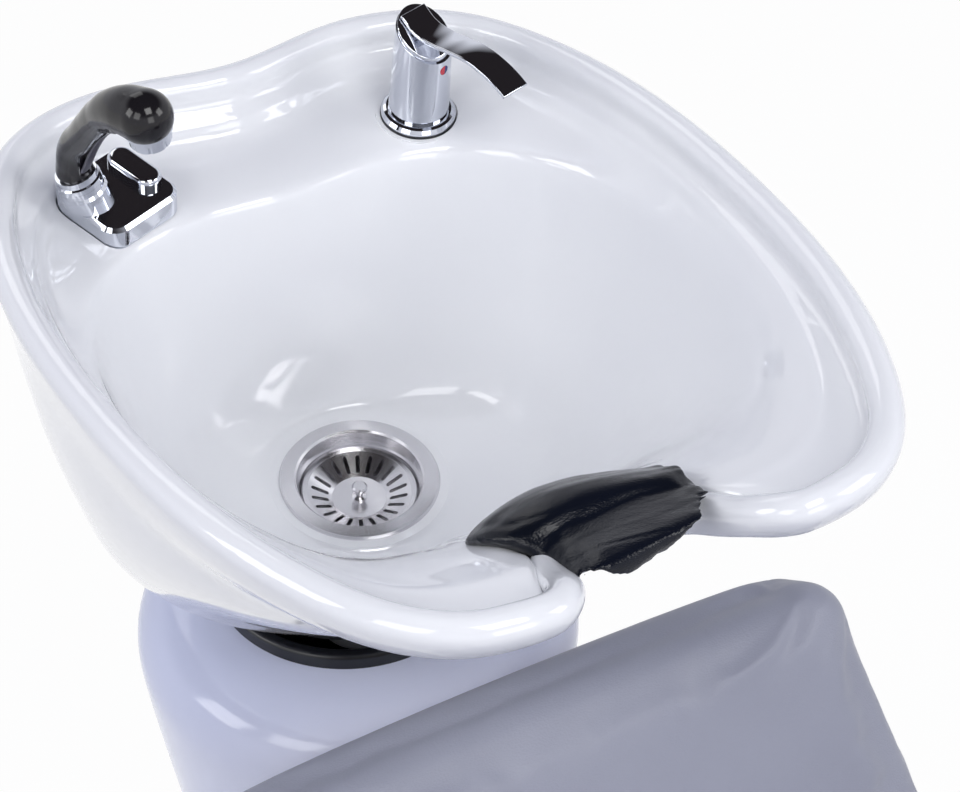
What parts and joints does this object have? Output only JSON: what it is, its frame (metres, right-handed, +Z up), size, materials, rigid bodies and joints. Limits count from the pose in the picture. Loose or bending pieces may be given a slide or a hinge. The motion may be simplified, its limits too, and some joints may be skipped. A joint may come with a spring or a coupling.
{
  "type": "hair washing bed",
  "caption": "Salon backwash unit: tilting glazed basin with neck rest, lever mixer and hand shower on a moulded pedestal, behind a padded chair on a floor plate.",
  "frame": {"origin": "on the floor, on the centre line, straight below the middle of the basin's drain", "axes": "+X to the sitter's left, +Y from the chair towards the basin's back, +Z up"},
  "size_m": [0.712, 1.085, 1.0818],
  "materials": {
    "ceramic": "gloss glaze",
    "neck_vinyl": "satin black",
    "steel": "pressed, bright",
    "rubber": "matt",
    "white_plastic": "moulded",
    "chrome": "polished",
    "dot_plastic": "enamelled",
    "brass": "machined",
    "handset_plastic": "gloss black",
    "grip_plastic": "soft touch",
    "painted_steel": "powder coated black",
    "zinc_steel": "zinc plated",
    "washer_plastic": "moulded",
    "pedestal_plastic": "gloss white",
    "collar_plastic": "satin black",
    "seat_leather": "fine grained, satin",
    "board_wood": "plywood"
  },
  "bodies": {
    "base": {"floor_pads": "rubber", "floor_plate": "painted_steel", "column": "painted_steel", "foot_bolts": "zinc_steel", "pedestal_shell": "pedestal_plastic", "service_door": "pedestal_plastic", "door_screws": "zinc_steel", "collar_ring": "collar_plastic", "tilt_cradle": "painted_steel", "pivot_bolts": "zinc_steel", "pivot_nuts": "zinc_steel", "friction_washers": "washer_plastic", "seat_post": "painted_steel", "seat_rails": "painted_steel", "seat_crossbars": "painted_steel", "seat_bolts": "zinc_steel", "seat_board": "board_wood", "seat_cushion": "seat_leather", "back_bars": "painted_steel", "back_board": "board_wood", "back_cushion": "seat_leather", "arm_left": "chrome", "arm_right": "chrome", "arm_pad_left": "seat_leather", "arm_pad_right": "seat_leather"},
    "basin": {"basin": "ceramic", "neck_rest": "neck_vinyl", "waste_flange": "steel", "waste_gasket": "rubber", "waste_lock_nut": "white_plastic", "waste_trap": "white_plastic", "mixer_gasket": "rubber", "mixer_body": "chrome", "mixer_dot": "dot_plastic", "mixer_shank": "brass", "mixer_nut": "brass", "mixer_washer": "rubber", "mixer_inlets": "brass", "holder_plate": "chrome", "holder_boss": "chrome", "holder_socket": "chrome", "holder_shank": "brass", "holder_nut": "brass", "holder_washer": "rubber", "basin_bracket": "painted_steel", "basin_skirt": "rubber", "bracket_bolts": "zinc_steel"},
    "strainer": {"strainer_basket": "steel", "basket_knob": "steel"},
    "cartridge": {"mixer_cartridge": "white_plastic"},
    "lever": {"mixer_lever": "chrome"},
    "handset": {"handset_ferrule": "chrome", "handset_body": "handset_plastic", "handset_inlay": "grip_plastic", "spray_ring": "chrome", "spray_face": "grip_plastic"}
  },
  "joints": [
    {"name": "basin_tilt", "type": "hinge", "parent": "base", "child": "basin", "pos_m": [0, 0.025, 0.598], "axis": [1, 0, 0], "range_deg": [-5, 5]},
    {"name": "basket_lift", "type": "slide", "parent": "basin", "child": "strainer", "axis": [0, -0.0976, 0.9952], "range_m": [0, 0.05]},
    {"name": "lever_turn", "type": "hinge", "parent": "basin", "child": "cartridge", "pos_m": [0.11323, 0.11228, 0.98975], "axis": [0.1667, -0.5848, 0.7939], "range_deg": [-45, 45]},
    {"name": "lever_lift", "type": "hinge", "parent": "cartridge", "child": "lever", "pos_m": [0.10804, 0.12385, 1.00851], "axis": [-0.9397, -0.3381, -0.0517], "range_deg": [0, 22]},
    {"name": "handset_lift", "type": "slide", "parent": "basin", "child": "handset", "axis": [-0.2447, 0.0181, 0.9694], "range_m": [0, 0.12]}
  ]
}
